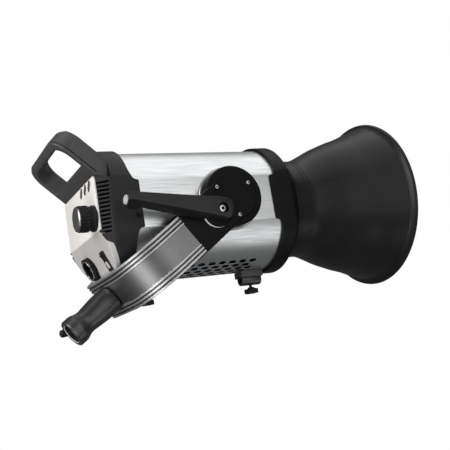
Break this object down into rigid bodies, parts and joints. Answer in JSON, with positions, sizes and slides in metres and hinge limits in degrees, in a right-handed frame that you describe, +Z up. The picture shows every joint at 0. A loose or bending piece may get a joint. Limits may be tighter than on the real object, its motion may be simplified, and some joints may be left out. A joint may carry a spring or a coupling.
{
  "type": "monolight strobe",
  "caption": "Studio strobe: brushed drum with moulded ends, carry handle, rear controls, tilting ribbed yoke with lock lever and stand socket, and a bell reflector on a bayonet.",
  "frame": {"origin": "centre of the stand socket's mouth, where the stand's spigot goes in", "axes": "+X is where the light goes, level at rest; +Z is up; +Y is the lamp's left seen from behind, and the lock lever is on the -Y side"},
  "size_m": [0.478, 0.2409, 0.2693],
  "materials": {
    "brushed_aluminium": "brushed",
    "extruded_aluminium": "satin",
    "black_moulding": "moulded, fine texture",
    "black_casting": "black powder coat",
    "black_socket": "black coated, satin",
    "black_knob": "moulded",
    "grey_panel": "satin",
    "silver_cap": "turned",
    "bright_steel": "bright",
    "black_reflector": "satin black paint",
    "clear_glass": "clear",
    "white_ceramic": "matt",
    "green_board": "printed board",
    "dark_sleeve": "sleeved can",
    "grey_tip": "satin"
  },
  "bodies": {
    "yoke": {"yoke_bar": "extruded_aluminium", "yoke_end_near": "black_casting", "yoke_end_far": "black_casting", "hub_cap_near": "black_casting", "hub_cap_far": "black_casting", "cap_screw_near_1": "bright_steel", "cap_screw_near_2": "bright_steel", "cap_screw_near_3": "bright_steel", "cap_screw_far_1": "bright_steel", "cap_screw_far_2": "bright_steel", "cap_screw_far_3": "bright_steel", "stand_socket": "black_socket", "socket_bolt": "bright_steel"},
    "head": {"upper_cover": "brushed_aluminium", "lower_cover": "brushed_aluminium", "rear_casing": "black_moulding", "front_bezel": "black_moulding", "carry_handle": "black_moulding", "rear_panel": "grey_panel", "connector_panel": "grey_panel", "dial_collar": "black_knob", "power_inlet": "black_knob", "inlet_contacts": "black_moulding", "switch_frame": "black_moulding", "casing_screw_near": "black_moulding", "casing_screw_far": "black_moulding", "umbrella_holder_front": "black_socket", "umbrella_holder_rear": "black_socket", "tilt_boss_near": "silver_cap", "tilt_boss_far": "silver_cap", "tilt_bolt_near": "bright_steel", "tilt_bolt_far": "bright_steel", "chassis_plate": "extruded_aluminium", "circuit_board": "green_board", "transformer": "black_moulding", "capacitor_1": "dark_sleeve", "capacitor_2": "dark_sleeve", "capacitor_3": "dark_sleeve", "fan_frame": "black_knob", "front_plate": "extruded_aluminium", "lamp_base": "white_ceramic", "flash_tube": "clear_glass", "modelling_lamp": "clear_glass", "bayonet_ring": "bright_steel"},
    "lever": {"lever_hub": "black_casting", "lock_lever": "black_casting", "lever_screw": "bright_steel", "lever_end_cap": "grey_tip"},
    "clamp": {"clamp_handle": "black_knob"},
    "umbrella_screw_front": {"umbrella_screw_front": "black_knob"},
    "umbrella_screw_rear": {"umbrella_screw_rear": "black_knob"},
    "dial": {"power_dial": "black_knob", "dial_cap": "silver_cap"},
    "button_1": {"panel_button_1": "black_knob"},
    "button_2": {"panel_button_2": "black_knob"},
    "button_3": {"panel_button_3": "black_knob"},
    "switch": {"rocker_switch": "black_knob"},
    "latch": {"release_latch": "bright_steel"},
    "reflector": {"reflector": "black_reflector"},
    "fan": {"fan_rotor": "black_knob"}
  },
  "joints": [
    {"name": "head_tilt", "type": "hinge", "parent": "yoke", "child": "head", "pos_m": [0.1965, 0, 0.13657], "axis": [0, 1, 0], "range_deg": [0, 100]},
    {"name": "lock_lever_turn", "type": "hinge", "parent": "yoke", "child": "lever", "pos_m": [0.16612, -0.1008, 0.11546], "axis": [0, -1, 0], "range_deg": [-35, 35]},
    {"name": "clamp_turn", "type": "hinge", "parent": "yoke", "child": "clamp", "pos_m": [0.01026, 0, 0.00713], "axis": [0, 1, 0], "range_deg": [-180, 180]},
    {"name": "umbrella_screw_front_turn", "type": "hinge", "parent": "head", "child": "umbrella_screw_front", "pos_m": [0.2495, 0, 0.03157], "axis": [0, 0, -1], "range_deg": [-180, 180]},
    {"name": "umbrella_screw_rear_turn", "type": "hinge", "parent": "head", "child": "umbrella_screw_rear", "pos_m": [0.0995, 0, 0.03157], "axis": [0, 0, -1], "range_deg": [-180, 180]},
    {"name": "power_dial_turn", "type": "hinge", "parent": "head", "child": "dial", "pos_m": [0.03, -0.0525, 0.12707], "axis": [-1, 0, 0], "range_deg": [-150, 150]},
    {"name": "button_1_press", "type": "slide", "parent": "head", "child": "button_1", "axis": [1, 0, 0], "range_m": [0, 0.001], "stiffness_N_per_m": 400, "springref_m": -0.0005},
    {"name": "button_2_press", "type": "slide", "parent": "head", "child": "button_2", "axis": [1, 0, 0], "range_m": [0, 0.001], "stiffness_N_per_m": 400, "springref_m": -0.0005},
    {"name": "button_3_press", "type": "slide", "parent": "head", "child": "button_3", "axis": [1, 0, 0], "range_m": [0, 0.001], "stiffness_N_per_m": 400, "springref_m": -0.0005},
    {"name": "switch_rock", "type": "hinge", "parent": "head", "child": "switch", "pos_m": [0.04368, -0.0355, 0.07878], "axis": [0, 1, 0], "range_deg": [0, 8]},
    {"name": "latch_slide", "type": "slide", "parent": "head", "child": "latch", "axis": [-1, 0, 0], "range_m": [0, 0.003], "stiffness_N_per_m": 300, "springref_m": -0.001},
    {"name": "reflector_twist", "type": "hinge", "parent": "head", "child": "reflector", "pos_m": [0.3015, 0, 0.13657], "axis": [1, 0, 0], "range_deg": [0, 25]},
    {"name": "fan_spin", "type": "hinge", "parent": "head", "child": "fan", "pos_m": [0.0815, 0, 0.15657], "axis": [1, 0, 0], "continuous": true}
  ]
}
